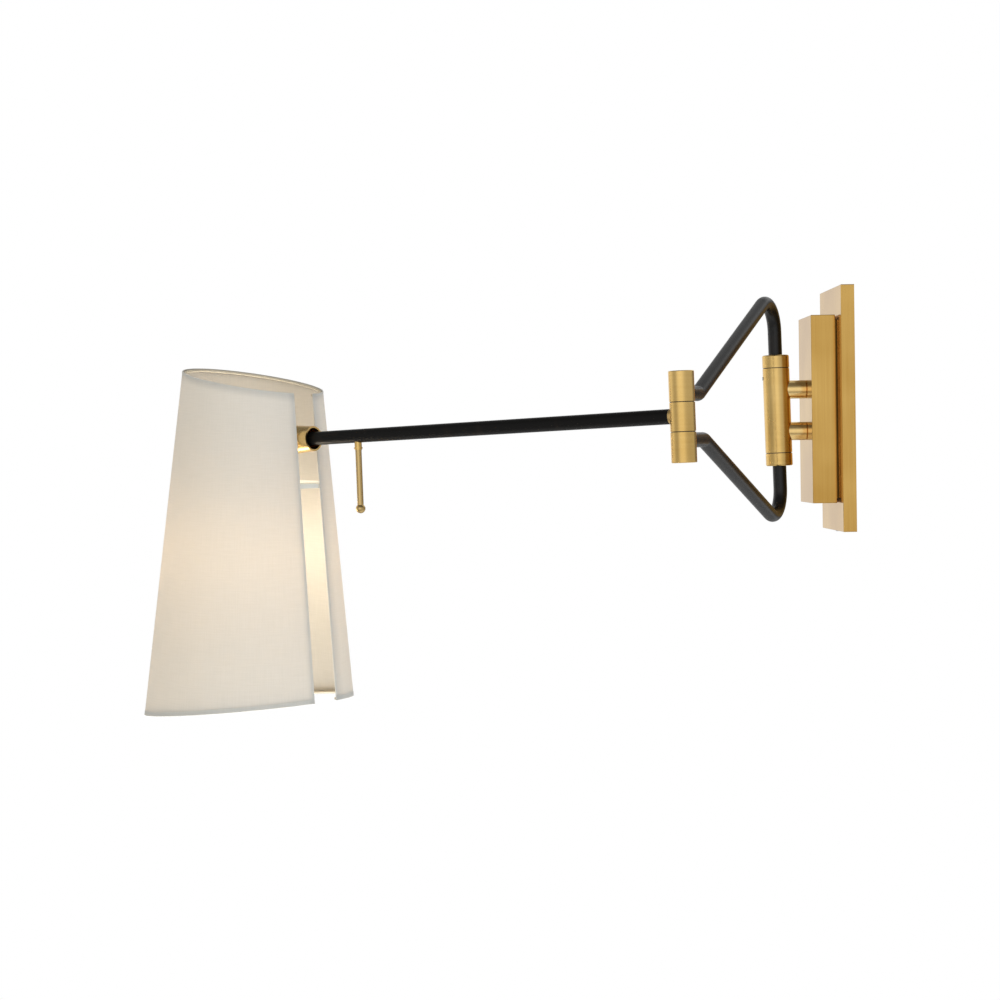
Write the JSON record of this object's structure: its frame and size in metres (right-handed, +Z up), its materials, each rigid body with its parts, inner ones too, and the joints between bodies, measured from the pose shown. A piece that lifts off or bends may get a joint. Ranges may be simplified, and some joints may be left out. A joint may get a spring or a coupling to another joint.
{
  "type": "swing arm wall lamp",
  "caption": "Wall lamp with a tall back plate, a triangular swinging tube frame, a long jointed arm, a pull rod switch and a slit conical fabric shade that tilts.",
  "frame": {"origin": "middle of the back plate's wall face", "axes": "+Z up, +Y into the wall, the lamp reaches toward -Y; +X is the side the picture is taken from"},
  "size_m": [0.4659, 0.7394, 0.4401],
  "materials": {
    "aged_brass": "satin, brushed, lightly aged",
    "black_metal": "satin black",
    "zinc_steel": "zinc plated",
    "black_plastic": "matte",
    "white_metal": "white enamel",
    "green_screw": "green lacquer",
    "linen": "ivory linen on a stiff backing, matte",
    "bulb_glass": "frosted, lit warm white"
  },
  "bodies": {
    "wall_mount": {"back_plate": "aged_brass", "canopy_box": "aged_brass", "wall_bracket": "zinc_steel", "edge_screw_top": "zinc_steel", "edge_screw_bottom": "zinc_steel", "ground_screw": "green_screw", "standoff_upper": "aged_brass", "standoff_lower": "aged_brass", "nipple_upper": "aged_brass", "nipple_lower": "aged_brass", "nipple_nut_upper": "aged_brass", "nipple_nut_lower": "aged_brass", "pivot_sleeve": "aged_brass", "pivot_bush_top": "aged_brass", "pivot_bush_bottom": "aged_brass", "pivot_grub_screw": "zinc_steel"},
    "swing_frame": {"pivot_seam_top": "black_plastic", "pivot_seam_bottom": "black_plastic", "pivot_cap_top": "aged_brass", "pivot_cap_bottom": "aged_brass", "pivot_spindle": "zinc_steel", "frame_tube_upper": "black_metal", "frame_tube_lower": "black_metal", "knuckle_upper": "aged_brass", "knuckle_lower": "aged_brass", "knuckle_seam_upper": "black_plastic", "knuckle_seam_lower": "black_plastic", "knuckle_plug_upper": "aged_brass", "knuckle_plug_lower": "aged_brass", "knuckle_pin": "zinc_steel", "knuckle_nut": "zinc_steel"},
    "arm": {"knuckle_middle": "aged_brass", "knuckle_bush": "aged_brass", "arm_root_boss": "aged_brass", "arm_tube": "black_metal", "switch_ferrule": "aged_brass", "switch_body": "black_plastic", "tilt_eye": "aged_brass", "arm_bell": "aged_brass"},
    "pull": {"pull_rod": "aged_brass"},
    "lamp_head": {"tilt_fork": "aged_brass", "tilt_screw": "aged_brass", "tilt_nut": "aged_brass", "socket_stem": "aged_brass", "socket_cup": "aged_brass", "socket_body": "black_plastic", "fitter_nut_upper": "black_plastic", "fitter_nut_lower": "black_plastic", "shade_spider": "white_metal", "shade_ring": "white_metal", "shade": "linen", "rim_wire_top": "white_metal", "rim_wire_bottom": "white_metal", "bulb_cap": "zinc_steel", "bulb_glass": "bulb_glass"}
  },
  "joints": [
    {"name": "wall_swing", "type": "hinge", "parent": "wall_mount", "child": "swing_frame", "pos_m": [0, -0.0693, 0], "axis": [0, -0.0241, 0.9997], "range_deg": [-63.5, 15]},
    {"name": "elbow_swing", "type": "hinge", "parent": "swing_frame", "child": "arm", "pos_m": [0.2476, -0.19419, -0.00911], "axis": [0, -0.0241, 0.9997], "range_deg": [-5, 110]},
    {"name": "shade_tilt", "type": "hinge", "parent": "arm", "child": "lamp_head", "pos_m": [-0.08852, -0.61949, -0.02336], "axis": [0.7846, -0.6201, 0], "range_deg": [-30, 20]},
    {"name": "pull_switch", "type": "slide", "parent": "arm", "child": "pull", "axis": [0.0172, 0.0218, -0.9996], "range_m": [0, 0.003], "stiffness_N_per_m": 600}
  ]
}
